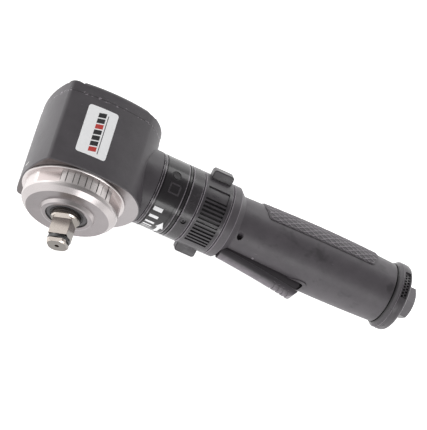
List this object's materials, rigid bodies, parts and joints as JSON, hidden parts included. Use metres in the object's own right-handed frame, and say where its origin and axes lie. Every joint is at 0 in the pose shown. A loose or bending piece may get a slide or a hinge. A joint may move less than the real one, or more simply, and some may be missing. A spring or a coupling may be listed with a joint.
{
  "type": "impact wrench",
  "caption": "Right-angle air impact wrench: square drive, throttle lever, power and reverse collars, swivelling exhaust ring and hexagonal threaded inlet.",
  "frame": {"origin": "centre of the anvil's end face, on the drive axis", "axes": "+X along the handle towards the air inlet, -Y out of the square drive, +Z out of the sticker side; at rest the tool lies on its other side"},
  "size_m": [0.283, 0.102, 0.0705],
  "materials": {
    "black_casting": "satin textured black coating on an aluminium casting",
    "handle_coating": "satin dark grey coating",
    "gloss_black": "gloss black",
    "black_plastic": "satin black nylon",
    "knurled_grip": "matt dark grey, diamond pattern",
    "sticker": "white film",
    "nose_steel": "turned steel",
    "tool_steel": "ground alloy steel, slightly bronze",
    "dark_steel": "blackened steel",
    "bearing_steel": "polished steel",
    "machined_aluminium": "machined",
    "bronze": "sintered bronze",
    "black_rubber": "matt",
    "grey_rubber": "matt grey",
    "gasket_paper": "fibre gasket",
    "vane_composite": "phenolic composite",
    "felt": "pressed felt",
    "brass_mesh": "woven screen"
  },
  "bodies": {
    "housing": {"air_tube": "machined_aluminium", "anvil_bushing": "bronze", "back_cover": "black_casting", "back_cover_gasket": "gasket_paper", "back_cover_screws": "dark_steel", "deflector_o_ring": "black_rubber", "exhaust_baffle": "machined_aluminium", "front_motor_bearing_balls": "bearing_steel", "front_motor_bearing_outer_race": "bearing_steel", "grip_pad": "knurled_grip", "hammer_case": "black_casting", "handle_shell": "handle_coating", "head_bearing_balls": "bearing_steel", "head_bearing_outer_race": "bearing_steel", "inlet_bushing": "dark_steel", "inlet_screen": "brass_mesh", "label_plate": "sticker", "lever_pin": "dark_steel", "motor_cylinder": "tool_steel", "motor_front_plate": "machined_aluminium", "motor_housing": "machined_aluminium", "motor_rear_plate": "machined_aluminium", "muffler_felt": "felt", "nose_ring": "nose_steel", "nose_seal": "grey_rubber", "pinion_bushing": "bronze", "rear_motor_bearing_balls": "bearing_steel", "rear_motor_bearing_outer_race": "bearing_steel", "regulator_detent_ball": "bearing_steel", "reverse_detent_ball": "bearing_steel", "spacer_ring": "black_plastic", "spacer_set_screw": "dark_steel", "valve_plug": "machined_aluminium", "valve_seat": "bronze", "valve_spring": "bearing_steel"},
    "anvil_body": {"anvil": "tool_steel", "socket_retaining_ring": "dark_steel", "retaining_o_ring": "black_rubber"},
    "hammer_body": {"hammer_cage": "tool_steel", "hammer_pins": "bearing_steel", "bevel_gear": "tool_steel", "head_bearing_inner_race": "bearing_steel"},
    "front_hammer_body": {"front_hammer": "tool_steel"},
    "rear_hammer_body": {"rear_hammer": "tool_steel"},
    "rotor_body": {"rotor": "tool_steel", "rotor_vanes": "vane_composite", "bevel_pinion": "tool_steel", "front_motor_bearing_inner_race": "bearing_steel", "rear_motor_bearing_inner_race": "bearing_steel"},
    "regulator_body": {"regulator_ring": "gloss_black"},
    "reverse_body": {"reverse_ring": "black_plastic"},
    "lever_body": {"lever": "handle_coating"},
    "valve_body": {"valve_stem": "bearing_steel"},
    "deflector_body": {"exhaust_deflector": "black_plastic"}
  },
  "joints": [
    {"name": "hammer_spin", "type": "hinge", "parent": "housing", "child": "hammer_body", "pos_m": [0, 0.067, 0], "axis": [0, 1, 0], "continuous": true},
    {"name": "anvil_spin", "type": "hinge", "parent": "housing", "child": "anvil_body", "pos_m": [0, 0, 0], "axis": [0, 1, 0], "continuous": true},
    {"name": "rotor_spin", "type": "hinge", "parent": "housing", "child": "rotor_body", "pos_m": [0.03, 0.067, 0], "axis": [1, 0, 0], "continuous": true},
    {"name": "front_hammer_swing", "type": "hinge", "parent": "hammer_body", "child": "front_hammer_body", "pos_m": [0.0195, 0.041, 0], "axis": [0, 1, 0], "range_deg": [-3, 3]},
    {"name": "rear_hammer_swing", "type": "hinge", "parent": "hammer_body", "child": "rear_hammer_body", "pos_m": [-0.0195, 0.048, 0], "axis": [0, 1, 0], "range_deg": [-3, 3]},
    {"name": "power_regulator", "type": "hinge", "parent": "housing", "child": "regulator_body", "pos_m": [0.057, 0.067, 0], "axis": [1, 0, 0], "range_deg": [-35, 35]},
    {"name": "reverse_selector", "type": "hinge", "parent": "housing", "child": "reverse_body", "pos_m": [0.088, 0.067, 0], "axis": [1, 0, 0], "range_deg": [0, 40]},
    {"name": "throttle_lever", "type": "hinge", "parent": "housing", "child": "lever_body", "pos_m": [0.1128, 0.053, 0], "axis": [0, 0, 1], "range_deg": [0, 7], "stiffness_Nm_per_rad": 4, "springref_deg": -5.73},
    {"name": "valve_travel", "type": "slide", "parent": "housing", "child": "valve_body", "axis": [0, 1, 0], "range_m": [0, 0.0034], "deforming": ["valve_spring"]},
    {"name": "exhaust_swivel", "type": "hinge", "parent": "housing", "child": "deflector_body", "pos_m": [0.233, 0.067, 0], "axis": [1, 0, 0], "continuous": true}
  ],
  "couplings": [
    {"joint": "anvil_spin", "follows": "hammer_spin", "ratio": 1},
    {"joint": "rotor_spin", "follows": "hammer_spin", "ratio": -2.5},
    {"joint": "valve_travel", "follows": "throttle_lever", "m_per_rad": 0.0272}
  ]
}
